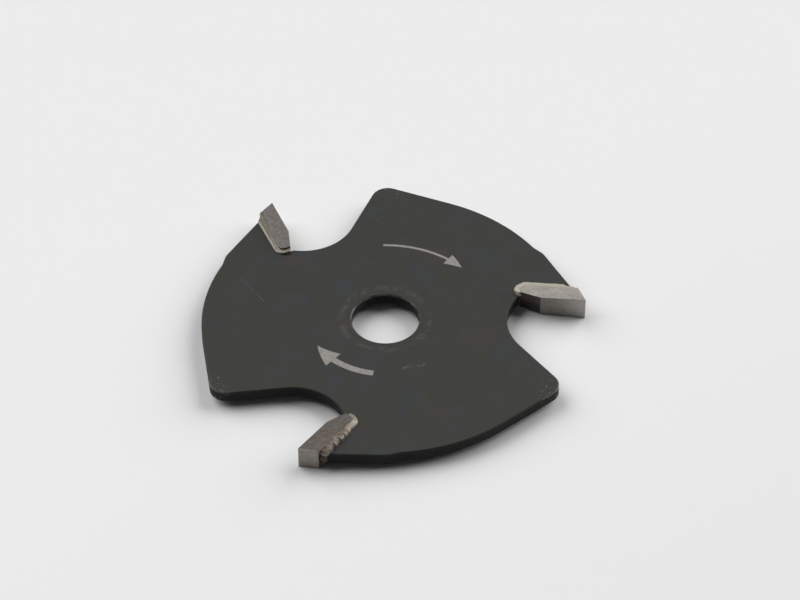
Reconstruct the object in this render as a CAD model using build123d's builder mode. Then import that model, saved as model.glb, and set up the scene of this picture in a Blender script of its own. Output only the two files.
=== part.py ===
from build123d import *
from math import cos, radians, sin, sqrt, tan
import os

# Three-wing slotting cutter: a thin steel body that clamps on an arbor, with a carbide tip brazed
# into a seat in each wing. Sizes are in millimetres and degrees. The origin is on the bore axis at
# half the plate's thickness, +Z is the bore axis, and the first cutting corner lies on +X.
# Seen from above, the cutter turns clockwise.

# Cutting size
cutting_diameter = 47.6
kerf = 3.0
wing_count = 3

# Steel body
plate_thickness = 1.4
bore_diameter = 8.0
bore_chamfer = 0.15
edge_break = 0.12
rim_setback = 2.14             # cutting circle to the rim of the body
heel_setback = 1.77            # cutting circle to the flat behind the tip
heel_angle = 22.6              # where that flat comes nearest to the axis
heel_end_angle = 25.0          # where the flat ends
heel_ramp_angle = 4.0          # and how far round the ramp down to the rim runs
heel_blend_radius = 2.0
nose_lead_angle = 63.1         # where the rim straightens towards the nose
nose_radius = 2.0
gullet_edge_angle = 61.8       # direction of the straight edge from the nose into the gullet
gullet_edge_setback = 13.96    # cutting circle to the line of that edge
gullet_radius = 6.4

# Carbide tip
tip_length = 7.8
tip_thickness = 2.1
tip_corner_radius = 0.6        # the corner that beds into the seat
rake_length = 5.35             # ground rake face, out to the cutting corner
toe_bevel_angle = 18.3         # the face behind the rake turns back by this much
hook_angle = 12.0
relief_angle = 15.0            # fall of the outer end behind the cutting edge
radial_clearance_angle = 2.0   # the sides draw in towards the bore
side_clearance_angle = 2.0     # and towards the back of the tip

# Seat and braze
braze_gap = 0.1                # tip to the back wall of the seat
seat_end_gap = 0.3             # tip to the inner end of the seat
seat_chamfer_width = 0.45
seat_chamfer_depth = 0.06
braze_drop = 0.12              # tip's ground side down to the top of the fillet
braze_lip = 0.2                # thickness of the fillet at the cutting width

cutting_radius = cutting_diameter / 2
rim_radius = cutting_radius - rim_setback
heel_offset = cutting_radius - heel_setback
gullet_edge_offset = cutting_radius - gullet_edge_setback
wing_pitch = 360 / wing_count
plate_top = plate_thickness / 2
seat_corner_radius = tip_corner_radius + seat_end_gap
beyond = kerf                  # how far a cut runs past what it cuts


def polar(radius, angle):
    """The point at this radius and angle about the bore axis."""
    return Vector(radius * cos(radians(angle)), radius * sin(radians(angle)))


def crossing(offset_a, normal_a, offset_b, normal_b):
    """Where two lines cross, each given by its distance from the axis and its normal's direction."""
    turn = sin(radians(normal_b - normal_a))
    x = (offset_a * sin(radians(normal_b)) - offset_b * sin(radians(normal_a))) / turn
    y = (offset_b * cos(radians(normal_a)) - offset_a * cos(radians(normal_b))) / turn
    return Vector(x, y)


def tip_plane(index, height=0.0):
    """The frame of a tip: x out along the rake face from the cutting corner, y towards its back."""
    corner_angle = index * wing_pitch
    corner = polar(cutting_radius, corner_angle)
    outward = polar(1, corner_angle - hook_angle)
    return Plane(origin=(corner.X, corner.Y, height), x_dir=(outward.X, outward.Y, 0), z_dir=(0, 0, 1))


# Plan of a tip in its own frame, from the cutting corner round to the outer back corner
toe_drop = (tip_length - rake_length) * tan(radians(toe_bevel_angle))
end_setback = tip_thickness * tan(radians(hook_angle + relief_angle))
tip_knee = (-rake_length, 0)
tip_toe = (-tip_length, toe_drop)
tip_corner = (-tip_length, tip_thickness)
tip_back = (-end_setback, tip_thickness)


def toe_point(index):
    """The inner front corner of a tip, seen from above."""
    return tip_plane(index).from_local_coords(Vector(*tip_toe))


def tip_side(index, side, drop=0.0):
    """The ground side of a tip, above or below, or a plane this far inside it."""
    frame = tip_plane(index)
    origin = frame.from_local_coords(Vector(0, 0, side * (kerf / 2 - drop)))
    slope = Vector(-tan(radians(radial_clearance_angle)), tan(radians(side_clearance_angle)), side)
    return Plane(origin=origin, z_dir=frame.from_local_coords(slope) - frame.origin)


def seat_plan(index, height, spread, outer_end):
    """A sketch of the seat at a height, widened by spread on its back wall and inner end."""
    inner_end = -tip_length - seat_end_gap - spread
    back_wall = tip_thickness + braze_gap + spread
    inner_corner = (inner_end, back_wall)
    with BuildSketch(tip_plane(index, height), mode=Mode.PRIVATE) as seat:
        with BuildLine():
            Polyline((outer_end, 0), (inner_end, 0), inner_corner, (outer_end, back_wall), close=True)
        make_face()
        fillet(seat.vertices().sort_by_distance(inner_corner)[0], radius=seat_corner_radius + spread)
    return seat.sketch


# One wing of the body: heel flat behind the tip, rim, nose and gullet
rake_offset = cutting_radius * sin(radians(hook_angle))
rake_normal = 90 - hook_angle
edge_normal = gullet_edge_angle + 90
heel_start = crossing(heel_offset, heel_angle, rake_offset, rake_normal)
heel_end = polar(heel_offset / cos(radians(heel_end_angle - heel_angle)), heel_end_angle)
rim_start = polar(rim_radius, heel_end_angle + heel_ramp_angle)
rim_middle = polar(rim_radius, (heel_end_angle + heel_ramp_angle + nose_lead_angle) / 2)
rim_end = polar(rim_radius, nose_lead_angle)
nose_corner = crossing(rim_radius, nose_lead_angle, gullet_edge_offset, edge_normal)

# The gullet is one arc, tangent to the nose's straight edge, that runs into the next tip's toe
next_toe = toe_point(1)
across, along = polar(1, edge_normal), polar(1, gullet_edge_angle)
arc_reach = gullet_edge_offset + gullet_radius - next_toe.dot(across)
gullet_start = across * gullet_edge_offset + along * (
    next_toe.dot(along) + sqrt(gullet_radius**2 - arc_reach**2))

with BuildSketch() as wing:
    with BuildLine():
        Polyline((0, 0), toe_point(0), heel_start, heel_end, rim_start)
        ThreePointArc(rim_start, rim_middle, rim_end)
        Polyline(rim_end, nose_corner, gullet_start)
        TangentArc(gullet_start, next_toe, tangent=-along)
        Line(next_toe, (0, 0))
    make_face()
    fillet(wing.vertices().sort_by_distance(nose_corner)[0], radius=nose_radius)
    fillet(wing.vertices().sort_by_distance(heel_end)[0], radius=heel_blend_radius)
    fillet(wing.vertices().sort_by_distance(rim_start)[0], radius=heel_blend_radius)

with BuildPart() as cutter_body:
    with BuildSketch():
        with PolarLocations(0, wing_count):
            add(wing.sketch)
    extrude(amount=plate_top, both=True)
    chamfer(cutter_body.faces().filter_by(Axis.Z).edges(), length=edge_break)
    Hole(radius=bore_diameter / 2)
    chamfer(cutter_body.edges(Select.LAST).filter_by(GeomType.CIRCLE), length=bore_chamfer)
    for index in range(wing_count):
        extrude(seat_plan(index, -plate_top, 0, beyond), amount=plate_thickness, mode=Mode.SUBTRACT)
        for side in (1, -1):
            mouth = seat_plan(index, side * plate_top, seat_chamfer_width, beyond)
            root = seat_plan(index, side * (plate_top - seat_chamfer_depth), 0, beyond)
            loft([mouth, root], ruled=True, mode=Mode.SUBTRACT)


def make_tip(index):
    """A carbide tip: hook in front, relief at the outer end, both sides drawn in."""
    with BuildPart() as tip:
        with BuildSketch(tip_plane(index)) as plan:
            with BuildLine():
                Polyline((0, 0), tip_knee, tip_toe, tip_corner, tip_back, close=True)
            make_face()
            fillet(plan.vertices().sort_by_distance(tip_corner)[0], radius=tip_corner_radius)
        extrude(amount=kerf / 2, both=True)
        for side in (1, -1):
            split(bisect_by=tip_side(index, side), keep=Keep.BOTTOM)
    return tip.part


def make_braze(index, tip):
    """The filler between a tip and its seat, with a fillet up the tip on both faces."""
    frame = tip_plane(index)
    heel = polar(1, index * wing_pitch + heel_angle)
    bevel = Vector(sin(radians(toe_bevel_angle)), cos(radians(toe_bevel_angle)), 0)
    with BuildPart() as braze:
        extrude(seat_plan(index, -plate_top, 0, -end_setback), amount=plate_thickness)
        for side in (1, -1):
            root = seat_plan(index, side * (plate_top - seat_chamfer_depth), 0, -end_setback)
            mouth = seat_plan(index, side * plate_top, seat_chamfer_width, -end_setback)
            lip = seat_plan(index, side * kerf / 2, braze_lip - braze_gap, -end_setback)
            loft([root, mouth], ruled=True)
            loft([mouth, lip], ruled=True)
        for side in (1, -1):
            split(bisect_by=tip_side(index, side, braze_drop), keep=Keep.BOTTOM)
        add(tip, mode=Mode.SUBTRACT)
        split(bisect_by=Plane(origin=heel * heel_offset, z_dir=heel), keep=Keep.BOTTOM)
        split(bisect_by=Plane(origin=toe_point(index), z_dir=frame.from_local_coords(bevel) - frame.origin))
    return braze.part


cutter_body.part.label = "cutter_body"
os.makedirs("parts", exist_ok=True)
export_step(cutter_body.part, "parts/cutter_body.step")

for index in range(wing_count):
    carbide_tip = make_tip(index)
    braze_seam = make_braze(index, carbide_tip)
    carbide_tip.label = f"carbide_tip_{index + 1}"
    braze_seam.label = f"braze_seam_{index + 1}"
    export_step(carbide_tip, f"parts/{carbide_tip.label}.step")
    export_step(braze_seam, f"parts/{braze_seam.label}.step")
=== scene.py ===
from math import atan2, cos, pi, radians, sin, tan
from random import Random

import bmesh
import bpy
from mathutils import Matrix, Vector, noise


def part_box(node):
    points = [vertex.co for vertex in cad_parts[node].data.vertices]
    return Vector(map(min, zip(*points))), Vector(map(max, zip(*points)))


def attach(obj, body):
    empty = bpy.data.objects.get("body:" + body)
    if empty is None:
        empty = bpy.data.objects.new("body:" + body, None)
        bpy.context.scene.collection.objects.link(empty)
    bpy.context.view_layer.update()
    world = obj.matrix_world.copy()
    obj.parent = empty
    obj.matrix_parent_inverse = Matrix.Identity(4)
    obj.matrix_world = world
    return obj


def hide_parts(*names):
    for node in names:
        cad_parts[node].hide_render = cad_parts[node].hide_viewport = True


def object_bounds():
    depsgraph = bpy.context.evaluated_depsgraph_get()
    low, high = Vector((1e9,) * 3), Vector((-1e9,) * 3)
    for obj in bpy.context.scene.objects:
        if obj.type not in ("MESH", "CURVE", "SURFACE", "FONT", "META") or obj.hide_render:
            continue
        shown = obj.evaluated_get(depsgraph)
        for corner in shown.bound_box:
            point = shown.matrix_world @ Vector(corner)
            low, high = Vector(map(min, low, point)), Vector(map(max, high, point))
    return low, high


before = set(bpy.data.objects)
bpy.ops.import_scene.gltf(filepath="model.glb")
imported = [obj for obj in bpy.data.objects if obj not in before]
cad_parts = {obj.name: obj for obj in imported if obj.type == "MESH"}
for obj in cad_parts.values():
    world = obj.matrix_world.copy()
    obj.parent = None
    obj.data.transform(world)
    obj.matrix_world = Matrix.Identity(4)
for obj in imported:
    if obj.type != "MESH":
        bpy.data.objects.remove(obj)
cad_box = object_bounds()
mm = 0.001

# Steel body
# A thin three-winged plate, cut and flat-ground from tool steel and blackened all over. It is clamped
# on its arbor round the bore, which has scuffed a ring there, and its corners are rubbed bright. Two
# arrows, burnt in by laser, show which way it turns.
wing_count = 3
wing_pitch = 2 * pi / wing_count
oxide_black = (0.0205, 0.0205, 0.0200, 1)
oxide_olive = (0.0185, 0.0200, 0.0130, 1)
oxide_brown = (0.0240, 0.0205, 0.0175, 1)
oxide_blue = (0.0180, 0.0205, 0.0225, 1)
# Painted shade: the plate's walls are a darker black than its faces, for the shade they stand in
plate_wall_painted_shade = (0.0115, 0.0112, 0.0125, 1)
rubbed_steel = (0.16, 0.155, 0.14, 1)
laser_grey = (0.27, 0.255, 0.24, 1)
bore_radius = 4.0 * mm
bore_wear_width = 0.5 * mm
scuff_radius = 5.2 * mm
scuff_width = 0.7 * mm
nose_angle = radians(84)
nose_wear_angles = (0.04, 0.15)
nose_wear_radii = (20.6 * mm, 22.0 * mm)

# A scratch and two rubs on the face: start, end and width in millimetres
scratch = ((-16.6, 8.7), (-13.7, 3.7), 0.10)
rubs = (((1.2, -8.35), (2.1, -8.15), 0.45), ((3.0, -8.15), (3.9, -8.0), 0.35))

# Patterns: cycles to the metre, detail, roughness, the noise at which each begins and at which it is
# full, and its strength at both where that isn't 0 and 1
olive_blotches = (230, 4, 0.6, 0.36, 0.54)
brown_blotches = (260, 3, 0.5, 0.54, 0.70)
blue_blotches = (230, 3, 0.5, 0.54, 0.68)
scuff_patches = (900, 5, 0.7, 0.42, 0.68)
scratch_gaps = (1100, 3, 0.6, 0.35, 0.55)
rub_gaps = (2600, 3, 0.6, 0.38, 0.62)
nose_specks = (2900, 2, 0.5, 0.62, 0.68)
burnt_dots = (5200, 2, 0.6, 0.25, 0.6, 0.6, 1.0)

# Two patterns are taken from elsewhere in the noise, so that they don't follow the first
brown_shift = (0.03, 0.01, 0.0)
blue_shift = (-0.02, 0.05, 0.0)

# How strongly each kind of wear shows
ring_strength = 0.8
hairline_strength = 0.10
mark_strength = 0.28
nose_wear = 0.45
bore_wear = 0.30
other_edge_wear = 0.12
nose_browning = 0.35
edge_shine = 0.6

# Where a wall gives way to a flat face, from 0 upright to 1 level, and the finish of the surface
wall_slope = (0.15, 0.35)
plate_tooth = (6000, 2, 0.5)
plate_roughness = (0.3, 1.6, 0.55, 0.59)
wall_dullness = 0.25
rub_polish = 0.12
rub_metal = 0.7
scratch_depth = 0.5
tooth_depth = 0.01 * mm


def node(tree, kind, inputs=None, **settings):
    """Adds a node, sets its properties, and fills each named input with a value or a link."""
    made = tree.nodes.new(kind)
    for name, value in settings.items():
        setattr(made, name, value)
    for key, value in (inputs or {}).items():
        if isinstance(value, bpy.types.NodeSocket):
            tree.links.new(value, made.inputs[key])
        else:
            made.inputs[key].default_value = value
    return made


def maths(tree, operation, first, second=0.0):
    """One arithmetic step on two numbers."""
    return node(tree, "ShaderNodeMath", {0: first, 1: second}, operation=operation).outputs[0]


def vector_maths(tree, operation, first, second, output="Vector"):
    """One step on two vectors, which gives a vector or, as its Value, a number."""
    return node(tree, "ShaderNodeVectorMath", {0: first, 1: second}, operation=operation).outputs[output]


def xyz(tree, vector):
    """The three parts of a vector."""
    return node(tree, "ShaderNodeSeparateXYZ", {"Vector": vector}).outputs


def ease(tree, value, start, end, low=0.0, high=1.0):
    """Takes a number smoothly from low to high as it goes from start to end."""
    inputs = {"Value": value, "From Min": start, "From Max": end, "To Min": low, "To Max": high}
    return node(tree, "ShaderNodeMapRange", inputs, interpolation_type="SMOOTHSTEP").outputs["Result"]


def blend(tree, amount, first, second):
    """Goes from the first colour to the second."""
    mixed = node(tree, "ShaderNodeMixRGB", {"Fac": amount, "Color1": first, "Color2": second})
    return mixed.outputs["Color"]


def grain(tree, place, scale, detail, roughness):
    """Cloudy noise from 0 to 1."""
    inputs = {"Vector": place, "Scale": scale, "Detail": detail, "Roughness": roughness}
    return node(tree, "ShaderNodeTexNoise", inputs).outputs[0]


def patches(tree, place, scale, detail, roughness, start, full, low=0.0, high=1.0):
    """Noise that begins to show at start and shows in full at full."""
    return ease(tree, grain(tree, place, scale, detail, roughness), start, full, low, high)


def levelness(tree):
    """How level a face lies: 1 on the plate's two flat faces, 0 on its walls."""
    facing = node(tree, "ShaderNodeNewGeometry").outputs["True Normal"]
    return maths(tree, "ABSOLUTE", xyz(tree, facing)["Z"])


def round_axis(tree, place):
    """Distance from the bore's axis, and the angle round it."""
    parts = xyz(tree, place)
    flat = node(tree, "ShaderNodeCombineXYZ", {"X": parts["X"], "Y": parts["Y"]}).outputs[0]
    radius = node(tree, "ShaderNodeVectorMath", {0: flat}, operation="LENGTH").outputs["Value"]
    return radius, maths(tree, "ARCTAN2", parts["Y"], parts["X"])


def near_line(tree, place, start, end, width):
    """A soft mark along a straight line on the plate, given in millimetres."""
    start, end = Vector((*start, 0)) * mm, Vector((*end, 0)) * mm
    heading = (end - start).normalized()
    offset = vector_maths(tree, "SUBTRACT", vector_maths(tree, "MULTIPLY", place, (1, 1, 0)), start)
    run = vector_maths(tree, "DOT_PRODUCT", offset, heading, "Value")
    run = maths(tree, "MINIMUM", maths(tree, "MAXIMUM", run, 0.0), (end - start).length)
    nearest = node(tree, "ShaderNodeVectorMath", {0: heading, "Scale": run}, operation="SCALE").outputs[0]
    away = vector_maths(tree, "DISTANCE", offset, nearest, "Value")
    return ease(tree, away, 0.0, width * mm, 1.0, 0.0)


def new_group(name, inputs, output):
    """A shader group with these inputs and one output, and the nodes at its two ends."""
    group = bpy.data.node_groups.new(name, "ShaderNodeTree")
    for label, kind, default in inputs:
        socket = group.interface.new_socket(name=label, in_out="INPUT", socket_type=kind)
        if default is not None:
            socket.default_value = default
    group.interface.new_socket(name=output, in_out="OUTPUT", socket_type="NodeSocketFloat")
    return group, group.nodes.new("NodeGroupInput"), group.nodes.new("NodeGroupOutput")


def use_group(tree, group, inputs):
    """Places a group in a material with its own values, and gives its mask."""
    return node(tree, "ShaderNodeGroup", inputs, node_tree=group).outputs["Mask"]


def new_material(name):
    """A material with its tree, its surface shader and the place of the shaded point."""
    material = bpy.data.materials.new(name)
    material.use_nodes = True
    tree = material.node_tree
    place = node(tree, "ShaderNodeTexCoord").outputs["Object"]
    return material, tree, tree.nodes["Principled BSDF"], place


# Hairline scratches: noise drawn out along one direction, of which only the peaks show
line_softness = 0.06
hairlines, given, result = new_group(
    "hairlines",
    [("Place", "NodeSocketVector", None), ("Angle", "NodeSocketFloat", 0.0),
     ("Spacing", "NodeSocketFloat", 900.0), ("Length", "NodeSocketFloat", 12.0),
     ("Rarity", "NodeSocketFloat", 0.7)], "Mask")
turned = node(hairlines, "ShaderNodeVectorRotate",
              {"Vector": given.outputs["Place"], "Angle": given.outputs["Angle"]}, rotation_type="Z_AXIS")
along = xyz(hairlines, turned.outputs[0])
drawn = node(hairlines, "ShaderNodeCombineXYZ",
             {"X": maths(hairlines, "DIVIDE", along["X"], given.outputs["Length"]), "Y": along["Y"],
              "Z": along["Z"]}).outputs[0]
lines = grain(hairlines, drawn, given.outputs["Spacing"], detail=2.0, roughness=0.7)
peak = maths(hairlines, "ADD", given.outputs["Rarity"], line_softness)
hairlines.links.new(ease(hairlines, lines, given.outputs["Rarity"], peak), result.inputs["Mask"])

# A turning arrow on an arc round the bore: a shaft of one width and a pointed head
edge_blur = 0.05 * mm
head_slope = 0.42
arrow, given, result = new_group(
    "turning_arrow",
    [("Place", "NodeSocketVector", None), ("Track", "NodeSocketFloat", 0.012),
     ("Point", "NodeSocketFloat", 0.5), ("Length", "NodeSocketFloat", 0.01),
     ("Stroke", "NodeSocketFloat", 0.0004), ("Head", "NodeSocketFloat", 0.0018)], "Mask")


def inside(tree, limit, distance):
    """1 where a distance is under its limit, with a soft edge."""
    return ease(tree, maths(tree, "SUBTRACT", limit, distance), -edge_blur, edge_blur)


radius, angle = round_axis(arrow, given.outputs["Place"])
from_track = maths(arrow, "ABSOLUTE", maths(arrow, "SUBTRACT", radius, given.outputs["Track"]))
from_point = maths(arrow, "MULTIPLY", maths(arrow, "SUBTRACT", angle, given.outputs["Point"]),
                   given.outputs["Track"])
half_head = maths(arrow, "MULTIPLY", from_point, head_slope)
in_head = maths(arrow, "MULTIPLY", inside(arrow, half_head, from_track),
                inside(arrow, given.outputs["Head"], from_point))
half_stroke = maths(arrow, "MULTIPLY", given.outputs["Stroke"], 0.5)
behind_head = maths(arrow, "MULTIPLY", inside(arrow, from_point, given.outputs["Head"]),
                    inside(arrow, given.outputs["Length"], from_point))
on_shaft = maths(arrow, "MULTIPLY", inside(arrow, half_stroke, from_track), behind_head)
on_top = maths(arrow, "GREATER_THAN", xyz(arrow, given.outputs["Place"])["Z"], 0.0)
arrow.links.new(maths(arrow, "MULTIPLY", maths(arrow, "MAXIMUM", in_head, on_shaft), on_top),
                result.inputs["Mask"])

# Where the corners and edges are rubbed: the narrow faces that slope between a flat face and a wall.
# On the carbide tips the same mask carries a painted highlight rather than wear.
off_upright = (0.2, 0.4)
off_level = (0.9, 0.97)
worn_through = (0.75, 1.05)
wear_grain = (3.0, 0.55)
edge_wear_and_highlight, given, result = new_group(
    "edge_wear_and_highlight",
    [("Place", "NodeSocketVector", None), ("Scale", "NodeSocketFloat", 900.0),
     ("Amount", "NodeSocketFloat", 0.5)], "Mask")
level = levelness(edge_wear_and_highlight)
sloping = maths(edge_wear_and_highlight, "MULTIPLY", ease(edge_wear_and_highlight, level, *off_upright),
                ease(edge_wear_and_highlight, level, *off_level, 1.0, 0.0))
patchy = grain(edge_wear_and_highlight, given.outputs["Place"], given.outputs["Scale"], *wear_grain)
worn_and_highlit = ease(edge_wear_and_highlight, maths(edge_wear_and_highlight, "ADD", patchy, given.outputs["Amount"]), *worn_through)
edge_wear_and_highlight.links.new(maths(edge_wear_and_highlight, "MULTIPLY", sloping, worn_and_highlit), result.inputs["Mask"])


def make_black_oxide():
    """Blackened steel with blotches, hairlines, a scuffed ring, rubbed corners and the two arrows."""
    material, tree, surface, place = new_material("black_oxide")
    brown_place = node(tree, "ShaderNodeMapping", {"Vector": place, "Location": brown_shift}).outputs[0]
    blue_place = node(tree, "ShaderNodeMapping", {"Vector": place, "Location": blue_shift}).outputs[0]
    blotches = patches(tree, place, *olive_blotches)
    colour = blend(tree, blotches, oxide_black, oxide_olive)
    colour = blend(tree, patches(tree, brown_place, *brown_blotches), colour, oxide_brown)
    colour = blend(tree, patches(tree, blue_place, *blue_blotches), colour, oxide_blue)
    # Painted shade: the walls are blended towards that darker black
    on_wall = ease(tree, levelness(tree), *wall_slope, 1.0, 0.0)
    colour = blend(tree, on_wall, colour, plate_wall_painted_shade)

    # The scuffed ring, the hairlines, the scratch and the rubs
    radius, angle = round_axis(tree, place)
    off_ring = maths(tree, "ABSOLUTE", maths(tree, "SUBTRACT", radius, scuff_radius))
    ring = maths(tree, "MULTIPLY", ease(tree, off_ring, 0.0, scuff_width, ring_strength, 0.0),
                 patches(tree, place, *scuff_patches))
    hairs = use_group(tree, hairlines, {"Place": place, "Angle": radians(58), "Spacing": 1500.0,
                                        "Length": 9.0, "Rarity": 0.72})
    cross_hairs = use_group(tree, hairlines, {"Place": brown_place, "Angle": radians(-24),
                                              "Spacing": 1900.0, "Length": 7.0, "Rarity": 0.73})
    marks = maths(tree, "MULTIPLY", near_line(tree, place, *scratch), patches(tree, place, *scratch_gaps))
    for rub in rubs:
        smudge = maths(tree, "MULTIPLY", near_line(tree, place, *rub), patches(tree, place, *rub_gaps))
        marks = maths(tree, "MAXIMUM", marks, smudge)
    scratches = maths(tree, "MAXIMUM", hairs, cross_hairs)
    light_marks = maths(tree, "MAXIMUM", maths(tree, "MULTIPLY", scratches, hairline_strength),
                        maths(tree, "MULTIPLY", maths(tree, "MAXIMUM", ring, marks), mark_strength))
    colour = blend(tree, light_marks, colour, rubbed_steel)

    # Edges rubbed bright, most of all at the noses and round the bore
    past_nose = maths(tree, "FLOORED_MODULO", maths(tree, "SUBTRACT", angle, nose_angle), wing_pitch)
    off_nose = maths(tree, "MINIMUM", past_nose, maths(tree, "SUBTRACT", wing_pitch, past_nose))
    at_nose = maths(tree, "MULTIPLY", ease(tree, off_nose, *nose_wear_angles, 1.0, 0.0),
                    ease(tree, radius, *nose_wear_radii))
    at_bore = ease(tree, radius, bore_radius, bore_radius + bore_wear_width, 1.0, 0.0)
    amount = maths(tree, "ADD", maths(tree, "MULTIPLY", at_nose, nose_wear),
                   maths(tree, "MULTIPLY", at_bore, bore_wear))
    wear_and_highlight = use_group(tree, edge_wear_and_highlight, {"Place": place, "Scale": 1100.0,
                                       "Amount": maths(tree, "ADD", amount, other_edge_wear)})
    specks = maths(tree, "MULTIPLY", at_nose, patches(tree, place, *nose_specks))
    colour = blend(tree, maths(tree, "MULTIPLY", at_nose, nose_browning), colour, oxide_brown)
    rubbed = maths(tree, "MAXIMUM", maths(tree, "MULTIPLY", wear_and_highlight, edge_shine), specks)
    colour = blend(tree, rubbed, colour, rubbed_steel)

    # The two arrows
    top_arrow = use_group(tree, arrow, {"Place": place, "Track": 12.6 * mm, "Point": radians(38),
                                        "Length": 10.5 * mm, "Stroke": 0.34 * mm, "Head": 2.2 * mm})
    low_arrow = use_group(tree, arrow, {"Place": place, "Track": 9.1 * mm, "Point": radians(-156),
                                        "Length": 8.2 * mm, "Stroke": 0.8 * mm, "Head": 3.0 * mm})
    burnt = maths(tree, "MULTIPLY", maths(tree, "MAXIMUM", top_arrow, low_arrow),
                  patches(tree, place, *burnt_dots))
    colour = blend(tree, burnt, colour, laser_grey)
    tree.links.new(colour, surface.inputs["Base Color"])

    surface.inputs["Specular IOR Level"].default_value = 0.35
    tooth = grain(tree, place, *plate_tooth)
    roughness = ease(tree, maths(tree, "ADD", blotches, tooth), *plate_roughness)
    roughness = maths(tree, "ADD", roughness, maths(tree, "MULTIPLY", on_wall, wall_dullness))
    tree.links.new(maths(tree, "SUBTRACT", roughness, maths(tree, "MULTIPLY", rubbed, rub_polish)),
                   surface.inputs["Roughness"])
    tree.links.new(maths(tree, "MULTIPLY", rubbed, rub_metal), surface.inputs["Metallic"])
    height = maths(tree, "SUBTRACT", tooth, maths(tree, "MULTIPLY", scratches, scratch_depth))
    bump = node(tree, "ShaderNodeBump", {"Height": height, "Strength": 0.2, "Distance": tooth_depth})
    tree.links.new(bump.outputs["Normal"], surface.inputs["Normal"])
    return material


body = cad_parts["cutter_body"]
body.data.materials.clear()
body.data.materials.append(make_black_oxide())
plate_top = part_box("cutter_body")[1].z

# Carbide tips
# Three pressed and sintered tungsten carbide blanks, brazed into the wings and then ground with a
# diamond wheel: rake face, outer end and both sides. The grinding leaves fine lines and keen edges.
cutting_radius = 23.8 * mm
kerf = 3.0 * mm
hook = radians(12)
tip_length = 7.8 * mm
tip_thickness = 2.1 * mm
rake_length = 5.35 * mm
edge_break = 0.045 * mm
loose_gap = 0.0005 * mm
same_face = radians(1)
crease = radians(15)
sharp_edge = radians(30)
# The same carbide on every tip, painted lightest on the first tip and darker on the other two, as painted
# highlight and painted shade for how each tip's sides catch the lights
side_grey_with_painted_light = {1: (0.385, 0.362, 0.330, 1), 2: (0.160, 0.150, 0.140, 1), 3: (0.122, 0.113, 0.106, 1)}
warm_patch_with_painted_light = {1: (0.425, 0.395, 0.320, 1), 2: (0.155, 0.130, 0.112, 1), 3: (0.130, 0.098, 0.082, 1)}
flux_stain_with_painted_light = {1: (0.400, 0.370, 0.290, 1), 2: (0.125, 0.115, 0.070, 1), 3: (0.130, 0.105, 0.075, 1)}
stain_width = {1: 0.15 * mm, 2: 0.45 * mm, 3: 0.40 * mm}
stain_end = {1: 0.0, 2: 0.0, 3: 0.80 * mm}
rake_grey = (0.365, 0.350, 0.328, 1)
# Painted shade: the rake face is painted darker towards its inner end
rake_painted_shade = (0.222, 0.199, 0.179, 1)
end_grey = (0.285, 0.262, 0.243, 1)
# The sintered skin of the toe's bevel: brown above, and near-black at its foot as painted shade
skin_above = (0.105, 0.078, 0.064, 1)
skin_foot_painted_shade = (0.016, 0.016, 0.018, 1)
pale_fleck = (0.5, 0.49, 0.46, 1)
dark_fleck = (0.05, 0.045, 0.04, 1)
ground_line = (0.5, 0.49, 0.47, 1)
# Painted highlight along the tips' free edges
painted_highlight_edge = (0.52, 0.51, 0.48, 1)

# Patterns: cycles to the metre, detail and roughness
tip_clouds = (650, 5, 0.65)
tip_mottle = (2400, 3, 0.6)
stain_ragged = (1500, 4, 0.6)

# Where each effect begins and where it is full, with its strength at both where that isn't 0 and 1:
# by noise, by how level a face is, and by place in the tip's own frame
warm_range = (0.50, 0.62, 0.0, 0.9)
pale_range = (0.50, 0.75, 0.0, 0.16)
dark_range = (0.50, 0.28, 0.0, 0.30)
side_slope = (0.6, 0.9)
skin_slope = (0.3, 0.5, 1.0, 0.0)
stain_run = (-6 * mm, -1 * mm)
stain_blur = 0.12 * mm
rake_shade_run = (0.6 * mm - rake_length, 0.2 * mm)
front_depth = (0.02 * mm, 0.08 * mm)
highlight_depth = (tip_thickness - 0.3 * mm, tip_thickness - 0.15 * mm, 0.7, 0.0)
highlight_run = (-rake_length - 0.3 * mm, -rake_length)
knee_run = (-rake_length - 0.03 * mm, -rake_length + 0.03 * mm, 1.0, 0.0)
skin_shade_rise = (0.0, 1.6 * mm)
skin_wander = 1.5 * mm

# How strongly stains and lines show, and the surface's feel
stain_strength = 0.8
line_strength = 0.035
line_depth = 0.006 * mm
tip_roughness = (0.3, 0.7, 0.44, 0.50)
skin_dullness = 0.15
ground_metal = 0.85
skin_metal = 0.10


def tip_frame(index):
    """A tip's own frame: x out along the rake face from the cutting corner, y towards its back."""
    around = Matrix.Rotation(wing_pitch * (index - 1), 4, "Z")
    return around @ Matrix.Translation((cutting_radius, 0, 0)) @ Matrix.Rotation(-hook, 4, "Z")


def merged_copy(name):
    """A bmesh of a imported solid, with its loose triangles joined."""
    mesh = bmesh.new()
    mesh.from_mesh(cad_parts[name].data)
    bmesh.ops.remove_doubles(mesh, verts=mesh.verts, dist=loose_gap)
    return mesh


def place_piece(mesh, name, replaced, material):
    """Makes a finished bmesh a piece of the cutter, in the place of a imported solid."""
    data = bpy.data.meshes.new(name)
    mesh.to_mesh(data)
    mesh.free()
    data.materials.append(material)
    piece = bpy.data.objects.new(name, data)
    bpy.context.scene.collection.objects.link(piece)
    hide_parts(replaced)
    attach(piece, "root")


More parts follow.
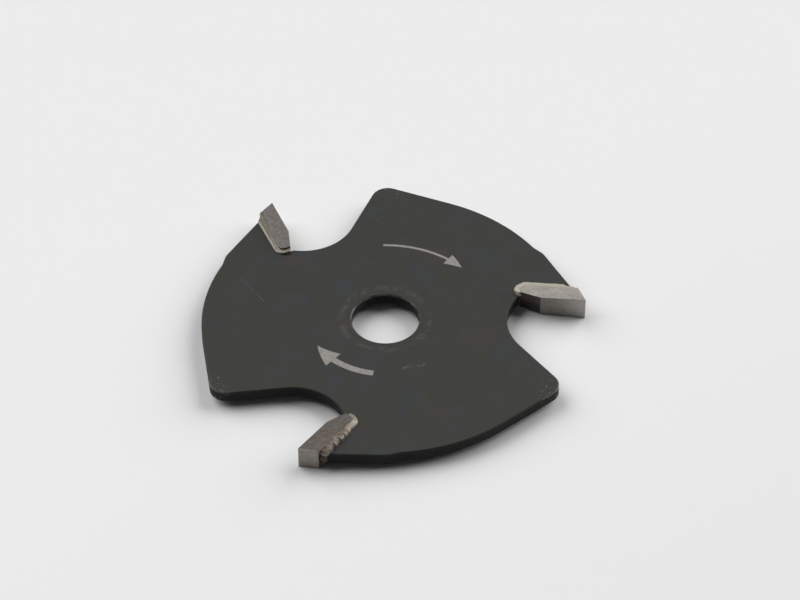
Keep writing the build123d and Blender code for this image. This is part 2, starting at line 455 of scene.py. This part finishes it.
def make_ground_carbide(index):
    """Ground carbide with fine lines and warm patches, and the toe's bevel left as it was sintered."""
    material, tree, surface, place = new_material(f"ground_carbide_{index}")
    corner = (-cutting_radius * cos(hook), -cutting_radius * sin(hook), 0)
    turn = (0, 0, hook - wing_pitch * (index - 1))
    to_tip = node(tree, "ShaderNodeMapping",
                  {"Vector": place, "Location": corner, "Rotation": turn}).outputs[0]
    parts = xyz(tree, to_tip)
    level = levelness(tree)

    # The sides, with warm patches and a ragged flux stain along the back, each tip's greys carrying its
    # painted highlight and painted shade
    clouds = grain(tree, place, *tip_clouds)
    side = blend(tree, ease(tree, clouds, *warm_range), side_grey_with_painted_light[index], warm_patch_with_painted_light[index])
    ragged = maths(tree, "MULTIPLY", grain(tree, place, *stain_ragged),
                   ease(tree, parts["X"], *stain_run, stain_end[index], 2 * stain_width[index]))
    near_back = ease(tree, maths(tree, "ADD", parts["Y"], ragged),
                     tip_thickness, tip_thickness + stain_blur)
    side = blend(tree, maths(tree, "MULTIPLY", near_back, stain_strength), side, flux_stain_with_painted_light[index])

    # The rake face, painted darker towards its inner end as painted shade, and the outer end
    front = blend(tree, ease(tree, parts["X"], *rake_shade_run), rake_painted_shade, rake_grey)
    front = blend(tree, ease(tree, parts["Y"], *front_depth), front, end_grey)
    colour = blend(tree, ease(tree, level, *side_slope), front, side)

    # Flecks and grinding lines all over, and a painted highlight along the free edges
    mottle = grain(tree, place, *tip_mottle)
    colour = blend(tree, ease(tree, mottle, *pale_range), colour, pale_fleck)
    colour = blend(tree, ease(tree, mottle, *dark_range), colour, dark_fleck)
    lines = use_group(tree, hairlines, {"Place": to_tip, "Angle": 0.0, "Spacing": 5200.0,
                                        "Length": 14.0, "Rarity": 0.50})
    colour = blend(tree, maths(tree, "MULTIPLY", lines, line_strength), colour, ground_line)
    # Painted highlight: the free edges near the cutting corner are painted bright
    wear_and_highlight = use_group(tree, edge_wear_and_highlight, {"Place": place, "Scale": 2500.0, "Amount": 0.70})
    free_edge_highlight = maths(tree, "MULTIPLY", ease(tree, parts["Y"], *highlight_depth),
                      ease(tree, parts["X"], *highlight_run))
    colour = blend(tree, maths(tree, "MULTIPLY", wear_and_highlight, free_edge_highlight), colour, painted_highlight_edge)

    # The bevel behind the rake face, which the wheel never reached, painted darker towards its foot as
    # painted shade
    unground = maths(tree, "MULTIPLY", ease(tree, parts["X"], *knee_run), ease(tree, level, *skin_slope))
    wavy_height = maths(tree, "ADD", parts["Z"], maths(tree, "MULTIPLY", clouds, skin_wander))
    skin = blend(tree, ease(tree, wavy_height, *skin_shade_rise), skin_foot_painted_shade, skin_above)
    colour = blend(tree, unground, colour, skin)
    tree.links.new(colour, surface.inputs["Base Color"])

    tree.links.new(ease(tree, unground, 0.0, 1.0, ground_metal, skin_metal), surface.inputs["Metallic"])
    tree.links.new(maths(tree, "ADD", ease(tree, clouds, *tip_roughness),
                         maths(tree, "MULTIPLY", unground, skin_dullness)), surface.inputs["Roughness"])
    bump = node(tree, "ShaderNodeBump", {"Height": lines, "Strength": 0.08, "Distance": line_depth})
    tree.links.new(bump.outputs["Normal"], surface.inputs["Normal"])
    return material


for index in range(1, wing_count + 1):
    tip = merged_copy(f"carbide_tip_{index}")
    bmesh.ops.dissolve_limit(tip, angle_limit=same_face, verts=tip.verts, edges=tip.edges)
    keen = [edge for edge in tip.edges if edge.calc_face_angle(0) > sharp_edge]
    bmesh.ops.bevel(tip, geom=keen, offset=edge_break, offset_type="OFFSET", affect="EDGES", segments=2,
                    profile=0.5, material=-1, clamp_overlap=True)
    for face in tip.faces:
        face.smooth = True
    for edge in tip.edges:
        edge.smooth = edge.calc_face_angle(0) < crease
    place_piece(tip, f"ground_tip_{index}", f"carbide_tip_{index}",
                make_ground_carbide(index))

# Braze seams
# Silver-bearing brass that was melted into each seat with a torch. It stands in a fillet against the
# tip's back and inner end, smooth where it flowed well and in lumps where it didn't, and is scorched
# brown in its hollows.
seam_start = -1.5 * mm
corner_radius = 0.6 * mm
side_clearance = radians(2)
seam_root = 0.1 * mm
seam_voxel = 0.045 * mm

# Rows of beads by seam, in millimetres. A row runs from start to end along the seam with a bead at each
# step, and its beads grow over its taper. A bead is long along the seam and reaches across it, its middle
# stands out from the tip, and its top is a drop below the tip's side. The jitter is a share. The lower
# face of the plate has the same row on all three seams.
rows = {
    1: [dict(start=0.62, end=6.9, taper=0.9, step=0.22, long=0.42, reach=0.50, out=0.38, drop=0.06,
             jitter=0.04),
        dict(start=6.6, end=7.35, taper=0.1, step=0.20, long=0.30, reach=0.40, out=0.24, drop=0.18,
             jitter=0.05)],
    2: [],
    3: [dict(start=0.0, end=4.6, taper=0.3, step=0.21, long=0.42, reach=0.56, out=0.30, drop=0.07,
             jitter=0.04),
        dict(start=4.5, end=6.4, taper=0.2, step=0.20, long=0.38, reach=0.44, out=0.25, drop=0.12,
             jitter=0.03),
        dict(start=0.3, end=6.2, taper=0.3, step=0.20, long=0.40, reach=0.26, out=0.08, drop=-0.02,
             jitter=0.02)],
}
lower_row = dict(start=0.8, end=6.8, taper=0.4, step=0.40, long=0.38, reach=0.36, out=0.08, drop=0.35,
                 jitter=0.10)

# The first bead of a row has this share of the full size, and small beads lie lower, by up to this drop
first_bead = 0.35
small_bead_drop = 0.3

# Single lumps, each this far along its seam, and a run of alloy that hangs over the heel's wall, by its
# centre and half sizes in the tip's frame
lumps = {
    1: [],
    2: [],
    3: [(0.40, dict(long=0.42, reach=0.52, out=0.30, drop=0.08)),
        (1.85, dict(long=0.55, reach=0.58, out=0.36, drop=0.03)),
        (2.86, dict(long=0.40, reach=0.58, out=0.38, drop=0.02)),
        (3.76, dict(long=0.46, reach=0.58, out=0.34, drop=0.02))],
}
heel_run = {1: [], 2: [], 3: [((-1.42, 2.55, 0.18), (0.30, 0.50, 0.46))]}

# How far each seam sagged as it set, as a share of its height, how deep a groove opened at the inner end
# of its tip, and how rough its skin is
back_sag = {1: 0.0, 2: 0.75, 3: 0.0}
end_sag = {1: 0.0, 2: 0.05, 3: 0.45}
toe_sag = {1: 0.0, 2: 0.0, 3: 0.4}
end_groove = {1: 0.0, 2: 0.08 * mm, 3: 0.0}
roughened = {1: 0.016 * mm, 2: 0.014 * mm, 3: 0.034 * mm}
skin_scale = {1: 2600, 2: 2600, 3: 1750}
end_smoothness = {1: 0.0, 2: 0.0, 3: 0.75}
smoothing_rounds = 4
skin_noise = (0.7, 2.0, 3)

# How deeply each seam is scorched, and where, and how much painted shade it has below the plate's face
stain_everywhere = 0.15
hollow_stain = {1: 30, 2: 30, 3: 7}
end_stain = {1: 0.12, 2: 0.5, 3: 0.0}
overheated = {1: 0.0, 2: 0.0, 3: 0.36}
up_tip_stain = {1: 0.0, 2: 0.6, 3: 0.15}
# Painted shade on the braze below the plate's face: on the seat's walls and on the lower face
seat_wall_painted_shade = 0.9
lower_face_painted_shade = 0.4
crest_relief = 0.6
patchiness = {1: 1.1, 2: 0.8, 3: 1.1}
bead_seed = {1: 11, 2: 23, 3: 5}
seam_colours = {
    1: ((0.42, 0.395, 0.335, 1), (0.13, 0.10, 0.07, 1)),
    2: ((0.212, 0.197, 0.162, 1), (0.11, 0.095, 0.062, 1)),
    3: ((0.24, 0.212, 0.172, 1), (0.080, 0.058, 0.044, 1)),
}

# Where each of these begins and where it is full: by distance out from the tip, by place along it and
# back from its rake face, and by rise from the plate's face to the tip's side
sag_out = (0.0, 0.35 * mm)
toe_sag_out = (0.0, 0.3 * mm)
toe_sag_back = (1.7 * mm, 0.9 * mm)
groove_near = (-0.05 * mm, 0.05 * mm)
groove_far = (0.22 * mm, 0.10 * mm)
crest_near = (0.08 * mm, 0.20 * mm)
crest_far = (0.52 * mm, 0.40 * mm)
up_tip_out = (0.24 * mm, 0.08 * mm)
smooth_along = (-5.6 * mm, -6.4 * mm)
overheated_along = (-6.6 * mm, -5.8 * mm)
up_tip_rise = (0.45, 0.85)
wall_rise = (-0.03, -0.20)

# The alloy's surface: fine patterns as cycles to the metre, detail and roughness
braze_clouds = (1300, 4, 0.6)
braze_pits = (5200, 3, 0.6)
scorch_range = (0.25, 0.75)
braze_roughness = (0.2, 0.9, 0.48, 0.62)
pit_depth = 0.02 * mm


def seam_point(distance, out):
    """The point this far along a seam and this far outside the tip, and the seam's direction there."""
    back = seam_start + tip_length - corner_radius
    bend = corner_radius * pi / 2
    centre = Vector((corner_radius - tip_length, tip_thickness - corner_radius, 0))
    if distance < back:
        return Vector((seam_start - distance, tip_thickness + out, 0)), pi
    if distance < back + bend:
        turn = (distance - back) / corner_radius
        radius = corner_radius + out
        return centre + Vector((-radius * sin(turn), radius * cos(turn), 0)), pi + turn
    down = distance - back - bend
    return Vector((-tip_length - out, tip_thickness - corner_radius - down, 0)), 3 * pi / 2


def outside_tip(point):
    """How far a point in a tip's frame lies outside the tip, and how far it has gone round its corner."""
    across = corner_radius - tip_length - point.x
    up = point.y - (tip_thickness - corner_radius)
    if across < 0:
        return up - corner_radius, 0.0
    if up < 0:
        return across - corner_radius, 1.0
    return (across**2 + up**2)**0.5 - corner_radius, 2 / pi * atan2(across, up)


def side_height(point):
    """Height of the tip's ground side above the middle of the plate."""
    return kerf / 2 + tan(side_clearance) * (point.x - point.y)


def between(value, start, end):
    """Goes smoothly from 0 to 1 as a value goes from start to end."""
    share = min(1.0, max(0.0, (value - start) / (end - start)))
    return share * share * (3 - 2 * share)


def add_bead(mesh, index, side, distance, form, wobble=1.0, full=1.0):
    """Sets a flattened bead on a seam, this far along it, on one face of the plate."""
    point, heading = seam_point(distance * mm, form["out"] * mm * wobble * full)
    root = plate_top - seam_root
    top = side_height(point) - (form["drop"] * (2 - wobble) + small_bead_drop * (1 - full)) * mm
    point.z = side * root
    size = (form["long"] * mm * full, form["reach"] * mm * wobble * full, top - root)
    shape = Matrix.Translation(point) @ Matrix.Rotation(heading, 4, "Z") @ Matrix.Diagonal((*size, 1))
    bmesh.ops.create_icosphere(mesh, subdivisions=3, radius=1.0, matrix=tip_frame(index) @ shape)


def add_beads(mesh, index, side, row, chance):
    """Sets a row of beads that run into one another along a seam."""
    distance = row["start"]
    while distance < row["end"]:
        wobble = 1 + row["jitter"] * chance.uniform(-1, 1)
        grown = between(distance, row["start"], row["start"] + row["taper"])
        add_bead(mesh, index, side, distance, row, wobble, first_bead + (1 - first_bead) * grown)
        distance += row["step"] * (1 + row["jitter"] * chance.uniform(-1, 1))


def make_braze(index):
    """Braze alloy: pale on the crests, scorched in the hollows and painted darker below the plate's face
    as painted shade, by the mesh's attribute.
    """
    material, tree, surface, place = new_material(f"braze_{index}")
    pale, scorched = seam_colours[index]
    scorch_and_painted_shade = node(tree, "ShaderNodeAttribute", attribute_name="scorch_and_painted_shade").outputs["Fac"]
    clouds = maths(tree, "SUBTRACT", grain(tree, place, *braze_clouds), 0.5)
    depth = maths(tree, "ADD", scorch_and_painted_shade, maths(tree, "MULTIPLY", clouds, patchiness[index]))
    colour = blend(tree, ease(tree, depth, *scorch_range), pale, scorched)
    tree.links.new(colour, surface.inputs["Base Color"])
    surface.inputs["Metallic"].default_value = 0.5
    tree.links.new(ease(tree, depth, *braze_roughness), surface.inputs["Roughness"])
    pits = grain(tree, place, *braze_pits)
    bump = node(tree, "ShaderNodeBump", {"Height": pits, "Strength": 0.25, "Distance": pit_depth})
    tree.links.new(bump.outputs["Normal"], surface.inputs["Normal"])
    return material


def fused(mesh, name):
    """One closed skin round everything in a bmesh."""
    data = bpy.data.meshes.new(name)
    mesh.to_mesh(data)
    mesh.free()
    lump = bpy.data.objects.new(name, data)
    bpy.context.scene.collection.objects.link(lump)
    remesh = lump.modifiers.new("skin", "REMESH")
    remesh.mode = "VOXEL"
    remesh.voxel_size = seam_voxel
    remesh.adaptivity = 0.0
    evaluated = lump.evaluated_get(bpy.context.evaluated_depsgraph_get())
    skin = bmesh.new()
    skin.from_mesh(evaluated.to_mesh())
    evaluated.to_mesh_clear()
    bpy.data.objects.remove(lump)
    bpy.data.meshes.remove(data)
    return skin


for index in range(1, wing_count + 1):
    chance = Random(bead_seed[index])
    from_tip = tip_frame(index)
    to_tip = from_tip.inverted()
    seam = merged_copy(f"braze_seam_{index}")
    for row in rows[index]:
        add_beads(seam, index, 1, row, chance)
    add_beads(seam, index, -1, lower_row, chance)
    for distance, lump in lumps[index]:
        add_bead(seam, index, 1, distance, lump)
    for centre, size in heel_run[index]:
        drop = Matrix.Translation(Vector(centre) * mm) @ Matrix.Diagonal((*(Vector(size) * mm), 1))
        bmesh.ops.create_icosphere(seam, subdivisions=3, radius=1.0, matrix=from_tip @ drop)
    seam = fused(seam, f"braze_lump_{index}")

    # The fillet sags between its lip on the tip and the seat's mouth, and parts from the inner end
    for vert in seam.verts:
        local = to_tip @ vert.co
        out, turned_in = outside_tip(local)
        rise = abs(local.z) - plate_top
        if rise > 0:
            sag = (1 - turned_in) * back_sag[index] * between(out, *sag_out)
            sag += turned_in * end_sag[index]
            sag += toe_sag[index] * between(local.y, *toe_sag_back) * between(out, *toe_sag_out)
            local.z *= (plate_top + rise * (1 - sag)) / abs(local.z)
        groove = between(out, *groove_near) * between(out, *groove_far)
        local.z -= end_groove[index] * turned_in * groove * between(local.z, 0, plate_top)
        vert.co = from_tip @ local
    for _ in range(smoothing_rounds):
        bmesh.ops.smooth_vert(seam, verts=seam.verts, factor=0.5, use_axis_x=True, use_axis_y=True,
                              use_axis_z=True)
    seam.normal_update()
    for vert in seam.verts:
        rough = noise.fractal(vert.co * skin_scale[index], *skin_noise)
        rough *= 1 - end_smoothness[index] * between((to_tip @ vert.co).x, *smooth_along)
        vert.co += vert.normal * rough * roughened[index]
    seam.normal_update()

    # It is scorched in its hollows, where it thins up the tip and where it was overheated, and painted
    # darker below the plate's face, on the seat's walls and the lower face, as painted shade
    scorch_and_painted_shade = seam.verts.layers.float.new("scorch_and_painted_shade")
    for vert in seam.verts:
        local = to_tip @ vert.co
        out, turned_in = outside_tip(local)
        rise = (abs(local.z) - plate_top) / (side_height(local) - plate_top)
        cup = sum((edge.other_vert(vert).co - vert.co).dot(vert.normal) for edge in vert.link_edges)
        crest = between(out, *crest_near) * between(out, *crest_far)
        amount = stain_everywhere + hollow_stain[index] * cup / mm
        amount += up_tip_stain[index] * between(rise, *up_tip_rise) * between(out, *up_tip_out)
        amount += seat_wall_painted_shade * between(rise, *wall_rise)
        amount += lower_face_painted_shade * between(local.z, 0, -plate_top)
        amount += end_stain[index] * turned_in * (1 - crest_relief * crest)
        amount += overheated[index] * between(local.x, *overheated_along)
        vert[scorch_and_painted_shade] = min(1.0, max(0.0, amount))
    for face in seam.faces:
        face.smooth = True
    place_piece(seam, f"brazed_seam_{index}", f"braze_seam_{index}", make_braze(index))

# Floor
# A plain white sheet, painted a little darker to the front and right as painted shade from uneven light.
# The cutter lies on it, on the three lower cutting corners of its tips.
floor_size = 1.5
floor_white = (0.795, 0.795, 0.795, 1)
# Painted shade: the sheet is darker to the front and right
floor_painted_shade = (0.755, 0.750, 0.750, 1)
shade_lean = 0.5
shade_run = (-0.02, 0.09)
sheet = bmesh.new()
bmesh.ops.create_grid(sheet, x_segments=1, y_segments=1, size=floor_size,
                      matrix=Matrix.Translation((0, 0, cad_box[0].z)))
floor_mesh = bpy.data.meshes.new("floor")
sheet.to_mesh(floor_mesh)
sheet.free()
floor = bpy.data.objects.new("floor", floor_mesh)
bpy.context.scene.collection.objects.link(floor)
floor_material, tree, surface, place = new_material("white_sheet")
parts = xyz(tree, place)
forward = maths(tree, "SUBTRACT", maths(tree, "MULTIPLY", parts["X"], shade_lean), parts["Y"])
floor_colour = blend(tree, ease(tree, forward, *shade_run), floor_white, floor_painted_shade)
tree.links.new(floor_colour, surface.inputs["Base Color"])
surface.inputs["Roughness"].default_value = 0.9
surface.inputs["Specular IOR Level"].default_value = 0.0
floor_mesh.materials.append(floor_material)

# Light
# Two wide soft lights stand behind the cutter, one to its left and one to its right, in a faint and even
# white surround.
ambient_strength = 0.06
world = bpy.data.worlds.new("surround")
bpy.context.scene.world = world
world.use_nodes = True
surround = world.node_tree.nodes["Background"]
surround.inputs["Color"].default_value = (1, 1, 1, 1)
surround.inputs["Strength"].default_value = ambient_strength


def add_soft_light(name, azimuth, elevation, spread, strength):
    """A distant soft light, its angles in degrees: azimuth 0 is +Y, and the spread is its width."""
    lamp = bpy.data.lights.new(name, "SUN")
    lamp.energy = strength
    lamp.angle = radians(spread)
    light = bpy.data.objects.new(name, lamp)
    light.matrix_world = (Matrix.Rotation(radians(azimuth), 4, "Z")
                          @ Matrix.Rotation(radians(elevation - 90), 4, "X"))
    bpy.context.scene.collection.objects.link(light)


add_soft_light("left_light", azimuth=50, elevation=42, spread=60, strength=2.45)
add_soft_light("right_light", azimuth=-60, elevation=30, spread=60, strength=2.97)

# Camera
# It looks down at the cutter as the photograph does, with the middle of the bore at the same place in
# the picture.
picture_width = 800
picture_height = 600
focal_pixels = 3164
bore_across = 385.43
bore_down = 318.49
view_azimuth = radians(-5.76)
view_elevation = radians(44.226)
view_roll = radians(0.123)
view_distance = 372.7 * mm
camera_data = bpy.data.cameras.new("camera")
camera_data.sensor_width = 36
camera_data.lens = focal_pixels / picture_width * camera_data.sensor_width
camera = bpy.data.objects.new("camera", camera_data)
turned = (Matrix.Rotation(view_azimuth, 4, "Z") @ Matrix.Rotation(pi / 2 - view_elevation, 4, "X")
          @ Matrix.Rotation(view_roll, 4, "Z"))
seen = Vector(((bore_across - picture_width / 2) / focal_pixels,
               (picture_height / 2 - bore_down) / focal_pixels, -1)) * view_distance
camera.matrix_world = Matrix.Translation(Vector((0, 0, plate_top)) - turned @ seen) @ turned
bpy.context.scene.collection.objects.link(camera)
bpy.context.scene.camera = camera
bpy.context.scene.view_settings.view_transform = "Standard"
